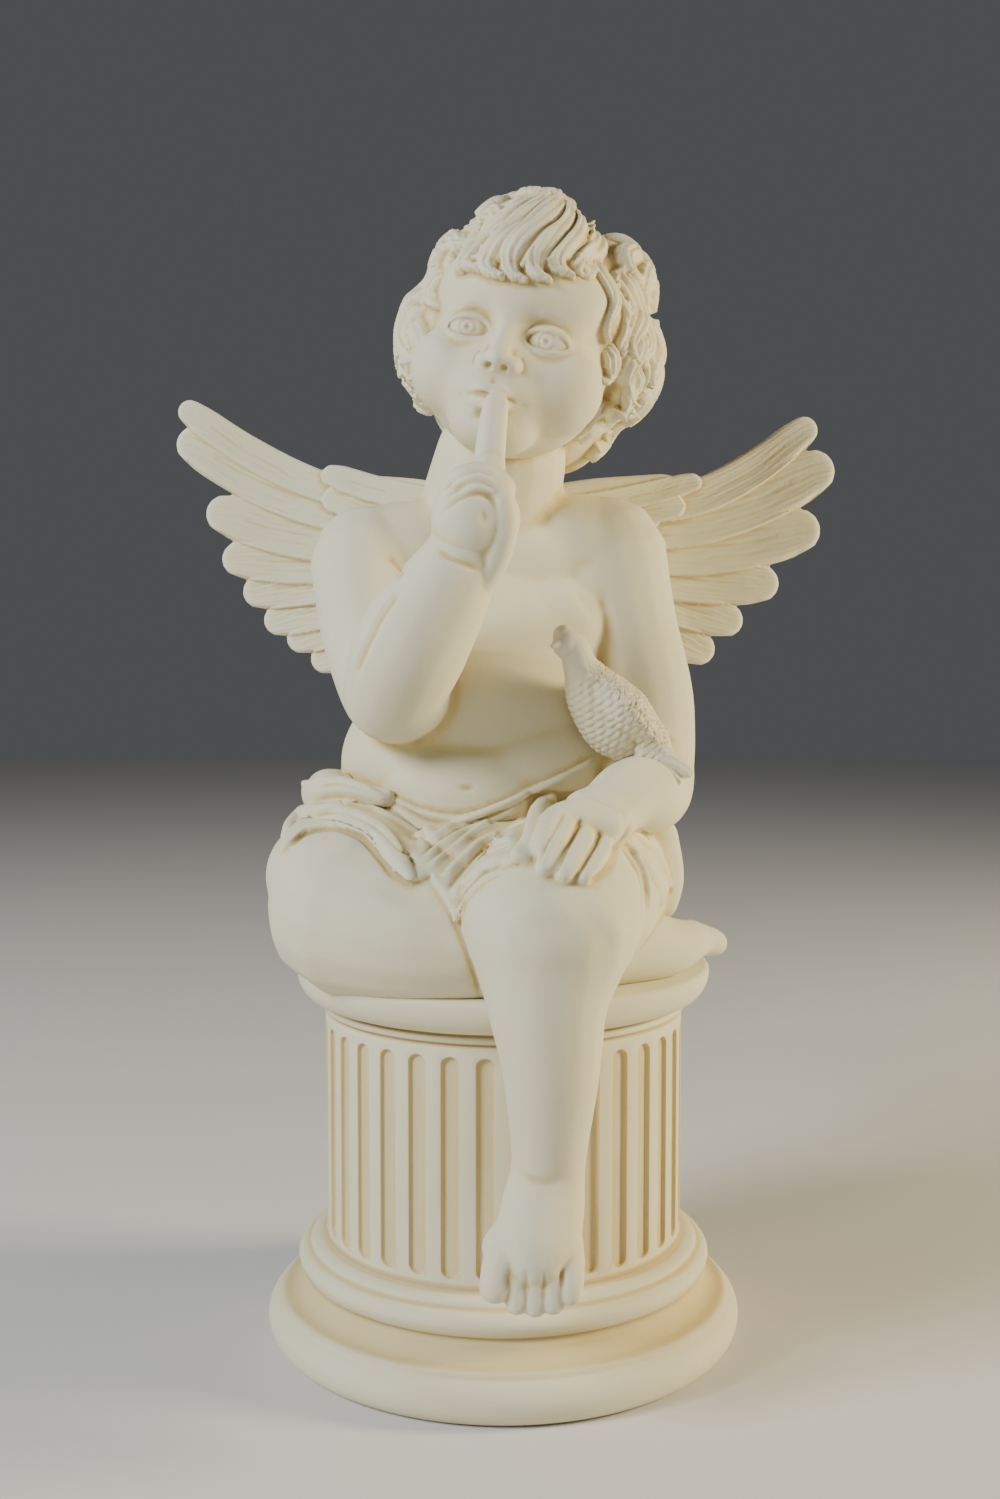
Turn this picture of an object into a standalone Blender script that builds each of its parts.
# Angel statue on a column: a seated cherub with two wings and a small bird, in cast plaster.
# Metres, +Z up. The origin is on the column's axis, on its underside, and the cherub faces -Y.
import bpy
import bmesh
import numpy as np
from math import cos, pi, radians, sin
from mathutils import Euler, Matrix, Vector
from mathutils.bvhtree import BVHTree

# Column
columnHeight = 0.1660
shaftRadius = 0.0795
capRadius = 0.0918
capHeight = 0.0165
capFilletHeight = 0.0040
baseRadius = 0.1056
baseHeight = 0.0446
plinthTorusHeight = 0.0199
upperTorusRadius = 0.0920
fluteCount = 34
fluteWidth = 0.0086
fluteDepth = 0.0020
fluteEndMargin = 0.0045
fluteEndSides = 8
columnSides = 68

# Figure, wings and bird
figureHeight = 0.3370
seatGap = 0.0003
wingGap = 0.0003
birdGap = 0.0003
featherFlatness = 0.30

# Fineness of the solids: voxels of the first masses in millimetres, then of the whole figure in metres
massVoxel = 2.2
wingVoxel = 1.3
birdVoxel = 1.1
clayVoxel = 0.0021
figureTriangles = 3900
wingTriangles = 500
birdTriangles = 320

# The pose is written in millimetres for a figure of this height, and follows figureHeight
poseHeight = 337.0


def clearScene():
    for thing in list(bpy.data.objects):
        bpy.data.objects.remove(thing, do_unlink=True)


def plaster(name, colour, roughness):
    material = bpy.data.materials.new(name)
    material.use_nodes = True
    shader = material.node_tree.nodes["Principled BSDF"]
    shader.inputs["Base Color"].default_value = (*colour, 1)
    shader.inputs["Roughness"].default_value = roughness
    shader.inputs["Metallic"].default_value = 0
    return material


def newObject(name, mesh, material=None):
    thing = bpy.data.objects.new(name, mesh)
    bpy.context.collection.objects.link(thing)
    if material:
        mesh.materials.append(material)
    return thing


def applied(thing):
    # The object keeps the mesh that its modifiers make
    graph = bpy.context.evaluated_depsgraph_get()
    mesh = bpy.data.meshes.new_from_object(thing.evaluated_get(graph), depsgraph=graph)
    thing.modifiers.clear()
    thing.data = mesh
    return thing


def cut(thing, cutter):
    # Takes the cutter's shape out of the object, and keeps the cutter only as a hidden guide
    cutter.hide_render = True
    cutter.display_type = "WIRE"
    boolean = thing.modifiers.new("cut by " + cutter.name, "BOOLEAN")
    boolean.operation = "DIFFERENCE"
    boolean.solver = "EXACT"
    boolean.object = cutter


def grown(thing, name, gap):
    # A copy of the object with its skin moved out by the gap
    mesh = thing.data.copy()
    mesh.name = name
    for vert, normal in zip(mesh.vertices, [entry.vector.copy() for entry in mesh.vertex_normals]):
        vert.co += normal * gap
    return newObject(name, mesh)


def arc(centreR, centreZ, radiusR, radiusZ, start, end, steps):
    # Points of an elliptical arc in the turned profile, angles in degrees
    return [(centreR + radiusR * cos(radians(start + (end - start) * i / steps)),
             centreZ + radiusZ * sin(radians(start + (end - start) * i / steps)))
            for i in range(steps + 1)]


# The column

def columnProfile():
    # Radius and height of the turned outline, from the underside's centre to the top's centre
    foot = plinthTorusHeight
    torusMiddle = foot + (baseHeight - foot) * 0.66
    neck = columnHeight - capHeight - capFilletHeight
    points = [(0, 0)]
    points += arc(baseRadius - foot * 0.37, foot * 0.5, foot * 0.37, foot * 0.5, -90, 0, 2)
    points += arc(baseRadius - foot * 0.49, foot * 0.5, foot * 0.49, foot * 0.5, 26, 54, 1)
    points += arc(baseRadius - 0.0070, foot + 0.0082, baseRadius - upperTorusRadius - 0.0042, 0.0078,
                  270, 180, 2)
    points += arc(upperTorusRadius - 0.0052, torusMiddle, 0.0052, 0.0046, -40, 72, 3)
    points += arc(shaftRadius, baseHeight - 0.0030, 0.0070, 0.0030, 6, 90, 2)
    points += [(shaftRadius, neck), (shaftRadius + 0.0008, neck + 0.0006)]
    points += arc(shaftRadius + 0.0008, columnHeight - 0.0024, capRadius - shaftRadius - 0.0008,
                  capHeight - 0.0028, -90, 0, 3)
    points += [(capRadius - 0.0020, columnHeight), (0, columnHeight)]
    return points


def turned(name, profile, sides, material=None):
    # Spins a profile once round the vertical axis
    form = bmesh.new()
    row = [form.verts.new((r, 0, z)) for r, z in profile]
    edges = [form.edges.new(pair) for pair in zip(row, row[1:])]
    bmesh.ops.spin(form, geom=row + edges, axis=(0, 0, 1), cent=(0, 0, 0), angle=2 * pi,
                   steps=sides, use_merge=True)
    bmesh.ops.remove_doubles(form, verts=form.verts, dist=1e-6)
    form.normal_update()
    bmesh.ops.recalc_face_normals(form, faces=form.faces)
    mesh = bpy.data.meshes.new(name)
    form.to_mesh(mesh)
    form.free()
    return newObject(name, mesh, material)


def fluteCutter():
    # One long round-ended bar for each flute, standing round the shaft
    low = baseHeight + fluteEndMargin
    high = columnHeight - capHeight - capFilletHeight - fluteEndMargin
    stretch = (high - low - fluteWidth) / 2
    floorRadius = shaftRadius - fluteDepth
    stand = Matrix.Rotation(radians(90), 4, "Y")
    form = bmesh.new()
    for i in range(fluteCount):
        bar = bmesh.ops.create_circle(form, cap_ends=True, radius=fluteWidth / 2, segments=fluteEndSides)["verts"]
        bmesh.ops.rotate(form, verts=bar, matrix=stand.to_3x3())
        for vert in bar:
            vert.co.z += stretch if vert.co.z > 0 else -stretch
        face = bar[0].link_faces[0]
        front = bmesh.ops.extrude_face_region(form, geom=[face])["geom"]
        front = [part for part in front if isinstance(part, bmesh.types.BMVert)]
        bmesh.ops.translate(form, verts=front, vec=(fluteDepth * 2, 0, 0))
        bmesh.ops.translate(form, verts=bar + front, vec=(floorRadius, 0, (low + high) / 2))
        bmesh.ops.rotate(form, verts=bar + front, matrix=Matrix.Rotation(2 * pi * (i + 0.5) / fluteCount, 3, "Z"))
    form.normal_update()
    bmesh.ops.recalc_face_normals(form, faces=form.faces)
    mesh = bpy.data.meshes.new("flute cutter")
    form.to_mesh(mesh)
    form.free()
    return newObject("flute cutter", mesh)


def makeColumn():
    column = turned("column", columnProfile(), columnSides, plaster("column plaster", (0.80, 0.76, 0.66), 0.75))
    cut(column, fluteCutter())
    column.data.shade_smooth()
    column.data.set_sharp_from_angle(angle=radians(35))
    return column


# Clay: rounded masses that are fused by a voxel remesh

def smoothStations(stations, perSpan):
    # Catmull-Rom through (x, y, z, radius), with a rounded cap at both ends
    knots = np.array(stations, dtype=float)
    padded = np.vstack([2 * knots[0] - knots[1], knots, 2 * knots[-1] - knots[-2]])
    fine = []
    for a, b, c, d in zip(padded, padded[1:], padded[2:], padded[3:]):
        for t in np.arange(perSpan) / perSpan:
            fine.append(0.5 * (2 * b + (c - a) * t + (2 * a - 5 * b + 4 * c - d) * t ** 2
                               + (3 * b - a - 3 * c + d) * t ** 3))
    fine.append(knots[-1])
    fine = np.array(fine)
    startWay = (fine[0] - fine[1])[:3]
    endWay = (fine[-1] - fine[-2])[:3]
    caps = []
    for end, way in ((fine[0], startWay), (fine[-1], endWay)):
        way = way / max(np.linalg.norm(way), 1e-9)
        caps.append([np.append(end[:3] + way * end[3] * sin(radians(a)), end[3] * cos(radians(a)))
                     for a in (35, 62, 84)])
    return np.vstack([caps[0][::-1], fine, caps[1]])


class Clay:
    # Balls and rolls in millimetres, fused into one skin
    def __init__(self):
        self.form = bmesh.new()
        self.rolls = []

    def ball(self, centre, radii, turn=(0, 0, 0), place=Matrix()):
        spin = Euler([radians(a) for a in turn]).to_matrix().to_4x4()
        size = Matrix.Diagonal((*radii, 1))
        bmesh.ops.create_icosphere(self.form, subdivisions=3, radius=1,
                                   matrix=place @ Matrix.Translation(centre) @ spin @ size)

    def roll(self, stations, place=Matrix(), perSpan=5):
        path = smoothStations(stations, perSpan)
        self.rolls.append([(place @ Vector(p[:3]), p[3]) for p in path])

    def add(self, mesh):
        self.form.from_mesh(mesh)

    def curveMesh(self, sides):
        curve = bpy.data.curves.new("rolls", "CURVE")
        curve.dimensions = "3D"
        curve.bevel_depth = 1
        curve.bevel_resolution = sides
        curve.use_fill_caps = True
        for path in self.rolls:
            spline = curve.splines.new("POLY")
            spline.points.add(len(path) - 1)
            for point, (place, radius) in zip(spline.points, path):
                point.co = (*place, 1)
                point.radius = max(radius, 0.05)
        thing = newObject("rolls", curve)
        mesh = bpy.data.meshes.new_from_object(thing.evaluated_get(bpy.context.evaluated_depsgraph_get()))
        bpy.data.objects.remove(thing)
        return mesh

    def fused(self, name, voxel, smoothing, sides=4):
        if self.rolls:
            self.form.from_mesh(self.curveMesh(sides))
        mesh = bpy.data.meshes.new(name)
        self.form.to_mesh(mesh)
        self.form.free()
        thing = newObject(name, mesh)
        remesh = thing.modifiers.new("fuse", "REMESH")
        remesh.mode = "VOXEL"
        remesh.voxel_size = voxel
        if smoothing:
            smooth = thing.modifiers.new("smooth", "SMOOTH")
            smooth.factor = 0.5
            smooth.iterations = smoothing
        return applied(thing)


def takeMesh(thing):
    # Gives the mesh and drops the object that held it
    mesh = thing.data
    bpy.data.objects.remove(thing)
    return mesh


def thinned(thing, triangles):
    count = sum(len(face.vertices) - 2 for face in thing.data.polygons)
    decimate = thing.modifiers.new("thin", "DECIMATE")
    decimate.ratio = min(1, triangles / count)
    decimate.use_collapse_triangulate = True
    return applied(thing)


def figurePlace():
    # From millimetres of the pose, measured from the seat, to the figure on its column
    return Matrix.Translation((0, 0, columnHeight)) @ Matrix.Scale(figureHeight / poseHeight, 4)


# The cherub's masses, in millimetres from the seat, seen with +X on the viewer's right

headPlace = (Matrix.Translation((9, -17, 268)) @ Matrix.Rotation(radians(-12), 4, "Z")
             @ Matrix.Rotation(radians(12), 4, "Y") @ Matrix.Rotation(radians(-4), 4, "X"))

# The features sit a little below the middle of the head, as on a small child
facePlace = headPlace @ Matrix.Translation((0, 0.5, -6))

# The hair springs from the crown and is worked round its own centre
crown = Vector((24, 14, 330))
hairCentre = Vector((13, 0, 280))


def trunk():
    clay = Clay()
    clay.ball((-3, 18, 34), (63, 47, 38))
    clay.ball((-32, 32, 28), (34, 34, 30))
    clay.ball((28, 32, 28), (34, 34, 30))
    clay.ball((-12, 4, 88), (61, 46, 46))
    clay.ball((-14, -8, 76), (46, 42, 34))
    clay.ball((6, -3, 90), (48, 41, 38))
    clay.ball((-8, 10, 138), (57, 42, 48))
    clay.ball((-6, 0, 112), (52, 44, 38))
    clay.ball((-30, -5, 148), (29, 22, 26))
    clay.ball((18, -5, 150), (29, 22, 26))
    clay.ball((-5, 26, 150), (50, 32, 44))
    for side in (-1, 1):
        clay.ball((side * 29, 42, 170), (17, 15, 30), (0, side * 12, 0))
    clay.ball((-42, 14, 181), (35, 28, 25))
    clay.ball((33, 14, 184), (33, 28, 25))
    clay.roll([(-6, 18, 190, 38), (-5, 12, 206, 32), (0, 4, 228, 29)])
    clay.roll([(-60, 8, 177, 27), (-57, -12, 147, 23), (-48, -34, 122, 21.5), (-42, -46, 120, 20.5)])
    clay.roll([(47, 12, 181, 27), (55, 10, 150, 23.5), (62, 6, 118, 23.5), (63, 0, 92, 23)])
    clay.roll([(-36, 12, 34, 38), (-56, -20, 36, 38), (-64, -44, 34, 36)])
    clay.ball((-75, -36, 43), (26, 32, 25))
    clay.roll([(32, 10, 34, 37), (29, -38, 37, 36), (20, -84, 35, 35), (18, -104, 33, 34)])
    return takeMesh(clay.fused("trunk", massVoxel, 16))


def limbs():
    clay = Clay()
    clay.roll([(-46, -48, 121, 21.5), (-37, -64, 141, 23.5), (-25, -71, 160, 20), (-15, -75, 177, 15)])
    clay.ball((-11, -76, 190), (18, 15, 17))
    clay.roll([(63, 0, 90, 22.5), (62, -26, 80, 20), (58, -48, 79, 17), (50, -64, 80, 14.5)])
    clay.ball((41, -78, 72), (18, 17, 12), (0, 25, 30))
    clay.roll([(-63, -48, 29, 36), (-30, -65, 25, 32), (8, -66, 22, 26), (46, -50, 17, 19),
               (68, -38, 11.5, 14.5), (82, -28, 9.5, 11.5), (91, -20, 9, 8)])
    clay.roll([(18, -105, 32, 34), (17, -108, 17, 27.5), (16.5, -111, 3, 22.5), (18, -110, -27, 18),
               (17.5, -107, -52, 15), (17, -105, -62, 14.5)])
    clay.roll([(17, -104, -62, 14.5), (15, -107, -76, 16.5), (12, -114, -90, 16)])
    clay.ball((19, -97, -80), (13, 13, 14))
    clay.ball((9, -116, -93), (18, 12, 10), (35, 0, 0))
    return takeMesh(clay.fused("limbs", massVoxel, 7))


def head():
    clay = Clay()
    place = headPlace
    clay.ball((0, 6, 10), (45, 49, 44), place=place)
    clay.ball((0, -14, -14), (38, 35, 36), place=place)
    clay.ball((0, -20, 13), (36, 28, 27), place=place)
    clay.ball((-19, -26, -20), (19, 19, 19), place=place)
    clay.ball((19, -26, -20), (19, 19, 19), place=place)
    clay.ball((0, -24, -34), (28, 26, 20), place=place)
    clay.ball((0, -38, -43), (13, 11, 10), place=place)
    return takeMesh(clay.fused("head", massVoxel, 7))


def face(clay):
    # A generic calm child's face of plain proportions
    place = facePlace
    clay.roll([(0, -45, 6, 3.5), (0, -50, -4, 4.2), (0, -55, -10, 5.4)], place)
    for side in (-1, 1):
        clay.ball((side * 6, -50, -12), (4, 5.5, 3.8), place=place)
        clay.roll([(side * 8, -45, 9, 2.2), (side * 16, -44, 12, 2.6), (side * 24, -39, 10, 2)], place)
        clay.ball((side * 17, -37.5, 0), (8.5, 7, 6.2), place=place)
        clay.roll([(side * 2, -51, -23.5, 1.8), (side * 6, -50, -24.5, 1.6), (side * 11, -47, -26, 1)], place)
        clay.roll([(side * 1, -50, -29, 2.4), (side * 6, -48.5, -28, 1.8), (side * 10, -46.5, -27, 1)], place)
        clay.roll([(side * 44, -4, 8, 3), (side * 49, 2, 8, 3), (side * 50, 6, -2, 3), (side * 46, 2, -13, 3),
                   (side * 43, -5, -16, 3.6)], place)


def hairMass():
    # The rounded bulk of the hair: crown, forelock, both sides and the nape
    clay = Clay()
    clay.ball((14, 4, 276), (48, 51, 48))
    clay.ball((12, 24, 254), (40, 35, 34))
    clay.ball((12, -25, 302), (27, 31, 26))
    clay.ball((13, -42, 295), (21, 22, 12))
    clay.ball((-9, -10, 296), (23, 36, 20))
    clay.ball((-24, 2, 273), (20, 36, 29))
    clay.ball((40, -2, 294), (23, 38, 22))
    clay.ball((45, 4, 267), (22, 40, 27))
    return takeMesh(clay.fused("hair", massVoxel, 5))


def onFace(spot):
    # True where the face stays free of hair
    x, y, z = headPlace.inverted() @ spot
    return y < -14 and abs(x) < 37 and z < 17 + 10 * (abs(x + 14) / 30) ** 2


def lockPath(host, azimuth, elevation, length, wave, turn):
    # A wavy line that walks over the hair, away from the crown; angles in degrees, length in millimetres
    a, e = radians(azimuth), radians(elevation)
    out = Vector((sin(a) * cos(e), -cos(a) * cos(e), sin(e)))
    spot, normal = host.ray_cast(hairCentre + out * 150, -out)[:2]
    steps = 8
    path = []
    for i in range(steps + 1):
        if onFace(spot):
            break
        path.append((spot, normal))
        away = spot - crown
        away = (away - normal * away.dot(normal)).normalized()
        swing = radians(wave) * sin(2 * pi * (1.1 * i / steps + 0.1)) + radians(turn)
        away = Matrix.Rotation(swing, 3, normal) @ away
        spot, normal = host.find_nearest(spot + away * length / steps)[:2]
    return path


def hair(clay, host):
    # Rows of wavy locks from the crown down, standing a little proud of the bulk
    rows = ((72, 7, 46, 5.6, 8), (48, 13, 42, 5.4, 0), (24, 17, 38, 5.2, 12), (2, 18, 34, 5, 0), (-20, 15, 28, 4.8, 10),
            (-42, 10, 20, 4.6, 0))
    for number, (elevation, count, length, radius, shift) in enumerate(rows):
        for i in range(count):
            path = lockPath(host, shift + 360 * i / count, elevation, length, 52 - 104 * (i % 2), 0)
            if len(path) < 4:
                continue
            last = len(path) - 1
            stations = []
            for step, (spot, normal) in enumerate(path):
                size = radius * (0.55 + 0.5 * sin(pi * min(1, step / last * 1.1)) - 0.25 * (step / last) ** 3)
                stations.append((*(spot - normal * size * 0.1), size))
            clay.roll(stations, perSpan=2)


def forelock(clay, host):
    # Locks that sweep down over the forehead and end in small upturned tips
    for i in range(6):
        x = -10 + 8.6 * i
        tip = 285 + 0.012 * (x - 10) ** 2
        laid(clay, host, [(x * 0.7 + 12, 320, 3), (x * 0.9 + 5, 309, 4.6), (x - 1, 298, 4.8), (x - 2, tip + 4, 3.6),
                          (x + 2, tip, 2.2)], 0.5)


def laid(clay, host, points, sink=0.1):
    # A roll laid on what is seen from the front: x, z, radius; sink 1 puts its middle on the surface
    ridge = []
    for x, z, radius in points:
        spot, normal = host.ray_cast(Vector((x, -300, z)), Vector((0, 1, 0)))[:2]
        if spot is not None:
            ridge.append((*(spot + normal * radius * (1 - sink)), radius))
    if len(ridge) > 1:
        clay.roll(ridge)


def hands(clay, host):
    # The right hand: index finger up to the lips, the others curled; the left hand flat on the thigh
    clay.roll([(-6, -83, 203, 6.8), (-5.5, -79, 214, 6.4), (-4, -75, 226, 5.8), (-2.8, -72, 235, 5.2)])
    for i in range(3):
        top = 209 - 7 * i
        clay.roll([(-24 + 1.5 * i, -79, top - 15, 4.8), (-16, -88, top - 8, 5), (-6, -91, top - 4, 5),
                   (2, -85, top - 7, 4.8), (3, -77, top - 14, 4.4)])
    clay.roll([(-14, -85, 181, 7), (-7, -89, 186, 6), (-3, -88, 193, 4.8)])
    for x, z, across, drop, radius in ((17, 80, -9, 17, 4.6), (25, 79, -11, 19, 4.9), (33, 75, -12, 18, 4.9),
                                       (40, 71, -12, 16, 4.5)):
        laid(clay, host, [(x, z, radius), (x + across * 0.35, z - drop * 0.3, radius),
                          (x + across * 0.75, z - drop * 0.75, radius * 0.95), (x + across, z - drop, radius * 0.8)], 0.45)


def toes(clay):
    clay.roll([(3, -112, -86, 8.5), (-2.5, -120, -95, 7.4), (-4, -124, -101, 6.6)])
    for i in range(4):
        x = 5 + 6.7 * i
        low = (-106.5, -107.5, -106.5, -103)[i]
        clay.roll([(x * 0.8 + 3, -112, -86, 6), (x, -121, -96, 4.7), (x, -124.5, low, 4.1)])
    clay.roll([(86, -24, 11, 6), (92, -20, 9.5, 5), (95, -17, 8.5, 4)])


def clothMass(clay):
    # The cloth round the hips and over both thighs, a little proud of the skin
    clay.ball((-4, 20, 44), (67, 50, 36))
    clay.ball((0, 34, 24), (66, 38, 30))
    clay.roll([(-38, 12, 36, 40), (-56, -12, 38, 40), (-62, -24, 38, 39)])
    clay.roll([(-50, 50, 64, 15), (-74, 22, 72, 12), (-78, -4, 76, 10), (-66, -30, 77, 6), (-48, -40, 78, 3)])
    clay.roll([(34, 10, 35, 39), (33, -30, 38, 38), (27, -62, 38, 36)])
    clay.ball((-8, -34, 42), (40, 38, 26))
    clay.roll([(-24, -50, 50, 15), (-14, -70, 42, 14), (-16, -82, 31, 9)])
    clay.roll([(70, 4, 56, 9), (72, -4, 38, 9), (71, -8, 26, 7)])


def folds(clay, host):
    # Waist folds that run into the gather, the hem over the folded thigh, and folds that fan from the gather
    waist = ((-84, 80, 1.5), (-70, 82, 4), (-56, 80, 4.4), (-35, 70, 4.2), (-15, 67, 4), (7, 75, 4), (30, 87, 4),
             (44, 93, 1.5))
    for drop, swell in ((0, 1), (8, 1.1), (15, 1)):
        laid(clay, host, [(x, z - drop * (1 - abs(x + 20) / 160), r * swell) for x, z, r in waist], 0.8)
    laid(clay, host, [(-94, 62, 1), (-84, 71, 3.4), (-70, 71, 3.8), (-57, 63, 3.8), (-46, 51, 3.4), (-37, 43, 1)], 0.7)
    for x, z in ((20, 84), (8, 76), (30, 70), (2, 60), (-6, 44)):
        laid(clay, host, [(-36, 55, 1), ((x - 34) / 2, (z + 52) / 2, 3.2), (x, z, 1)], 0.8)
    laid(clay, host, [(-36, 58, 1), (-28, 46, 3.4), (-21, 35, 3.2), (-17, 28, 1)], 0.8)
    laid(clay, host, [(-17, 28, 1), (-10, 47, 3.4), (4, 61, 3.4), (16, 67, 1)], 0.8)
    for i in range(3):
        laid(clay, host, [(50 + 3 * i, 62, 1), (60 + 4 * i, 52, 2.8), (68 + 3 * i, 40, 2.8), (67 + 4 * i, 28, 1)], 0.8)


def makeCherub(wings, bird):
    skin = Clay()
    skin.add(trunk())
    skin.add(limbs())
    skin.add(head())
    cloth = Clay()
    clothMass(cloth)
    clothMesh = takeMesh(cloth.fused("cloth", massVoxel, 8))
    skin.add(clothMesh)
    host = BVHTree.FromBMesh(skin.form)
    folds(skin, host)
    hands(skin, host)
    toes(skin)
    face(skin)
    bulk = hairMass()
    skin.add(bulk)
    form = bmesh.new()
    form.from_mesh(bulk)
    hair(skin, BVHTree.FromBMesh(form))
    form.free()
    forelock(skin, BVHTree.FromBMesh(skin.form))
    cherub = skin.fused("cherub", clayVoxel * 1000, 2)
    cherub = thinned(cherub, figureTriangles)
    cherub.data.transform(figurePlace())
    cherub.data.materials.append(plaster("figure plaster", (0.83, 0.79, 0.69), 0.72))
    cut(cherub, makeSeatCutter())
    for wing in wings:
        cut(cherub, grown(wing, wing.name + " bed", wingGap))
    cut(cherub, grown(bird, "bird bed", birdGap))
    return cherub


def makeSeatCutter():
    # The column's own outline grown by the seat gap, so that the figure clears it all round
    grown = [(r + seatGap * (1 if r > 0 else 0), z) for r, z in columnProfile()]
    grown = [(r, z + seatGap if z > columnHeight - 0.001 else z) for r, z in grown]
    return turned("seat cutter", grown, columnSides)


# The wings: feathers laid in a flat plane, flattened, then swept back

def sweep(reach):
    # How far back the middle of a wing lies, in millimetres, by its distance from the spine
    return 58 + 0.26 * (reach - 20) - 0.0006 * (reach - 20) ** 2


def feather(clay, root, tip, radius, bow, layer):
    # x and z in millimetres; the feather sags from the straight line, and its upper edge stands proud
    root, tip = np.array(root, float), np.array(tip, float)
    along = tip - root
    across = np.array((-along[1], along[0])) / np.linalg.norm(along)
    vane, edge, rear = [], [], []
    for share, size in ((0, 0.7), (0.25, 0.95), (0.5, 1.05), (0.75, 1.05), (0.92, 1), (1, 0.85)):
        x, z = root + along * share + across * bow * sin(pi * share)
        vane.append((x, layer, z, radius * size))
        high = root + along * share * 0.97 + across * (bow * sin(pi * share) - radius * 0.55 * size)
        edge.append((high[0], layer - 7, high[1], radius * 0.42 * size))
        rear.append((high[0], layer + 7, high[1], radius * 0.42 * size))
    for path in (vane, edge, rear):
        clay.roll(path, perSpan=3)


def wingShape(side, feathers, coverts):
    clay = Clay()
    for number, (tip, radius, bow) in enumerate(feathers):
        share = number / (len(feathers) - 1)
        root = (-26 - 10 * sin(pi * (1 - share) / 2), 206 - 60 * share)
        feather(clay, root, tip, radius, bow, 0)
    for tip, radius, bow, layer in coverts:
        feather(clay, (-24, 186 + (tip[1] - 190) * 0.5), tip, radius, bow, layer)
    clay.ball((-34, 0, 182), (24, 16, 32), (0, -15, 0))
    clay.roll([(-22, 0, 204, 14), (-45, 0, 210, 12), (-78, 0, 216, 9)])
    wing = clay.fused("wing", wingVoxel, 1, 3)
    mesh = wing.data
    spots = np.empty(len(mesh.vertices) * 3)
    mesh.vertices.foreach_get("co", spots)
    spots = spots.reshape(-1, 3)
    spots[:, 1] = spots[:, 1] * featherFlatness + sweep(np.abs(spots[:, 0]))
    if side > 0:
        spots[:, 0] *= -1
    mesh.vertices.foreach_set("co", spots.ravel())
    if side > 0:
        mesh.flip_normals()
    mesh.update()
    return wing


leftFeathers = (((-154, 256), 7.5, 9), ((-152, 240), 11, 8), ((-137, 206), 11.5, 6), ((-130, 184), 10.5, 3),
                ((-120, 168), 10, 0), ((-110, 154), 9.5, 0), ((-99, 145), 9, 0), ((-87, 135), 9, 2),
                ((-70, 128), 9, 2), ((-55, 124), 9, 2))
rightFeathers = (((-148, 247), 8.5, 13), ((-153, 227), 13, 9), ((-146, 198), 13, 6), ((-127, 172), 11, 3),
                 ((-110, 154), 10, 0), ((-96, 140), 10, 0), ((-82, 131), 9.5, 2), ((-66, 126), 9, 2),
                 ((-52, 122), 9, 2))


def makeWing(name, side, feathers):
    coverts = [((-84 + 7 * i, 216 - 13 * i), 9, -3, -8) for i in range(5)]
    coverts += [((-84 + 7 * i, 216 - 13 * i), 9, -3, 10) for i in range(5)]
    wing = wingShape(side, feathers, coverts)
    wing.name = name
    wing.data.name = name
    wing = thinned(wing, wingTriangles)
    wing.data.transform(figurePlace())
    wing.data.materials.append(plaster(name + " plaster", (0.82, 0.78, 0.69), 0.72))
    return wing


# The bird, perched on the left forearm and looking up

def makeBird():
    clay = Clay()
    clay.roll([(25, -52, 144, 5), (29, -51, 139, 6.4), (32, -49, 131, 7.5), (37, -47, 121, 11.5), (46, -44, 110, 14.5),
               (54, -42, 103, 12.5), (61, -41, 97, 9), (67, -40, 91, 5)])
    clay.ball((26, -52, 141), (6, 6, 6.5))
    clay.roll([(23, -55, 141, 3), (20, -58, 140, 1.2)])
    for side in (-1, 1):
        clay.roll([(42, -45 + side * 9, 120, 7), (50, -44 + side * 11, 113, 8), (60, -42 + side * 8, 102, 5),
                   (66, -41 + side * 5, 95, 3)])
        clay.roll([(60, -41 + side * 2, 97, 4), (68, -40 + side * 5, 90, 3.6), (73, -39 + side * 7, 86, 3)])
    bird = clay.fused("bird", birdVoxel, 2, 3)
    bird = thinned(bird, birdTriangles)
    bird.data.transform(figurePlace())
    bird.data.materials.append(plaster("bird plaster", (0.62, 0.58, 0.50), 0.9))
    return bird


clearScene()
makeColumn()
leftWing = makeWing("wing_left", -1, leftFeathers)
rightWing = makeWing("wing_right", 1, rightFeathers)
makeCherub((leftWing, rightWing), makeBird())
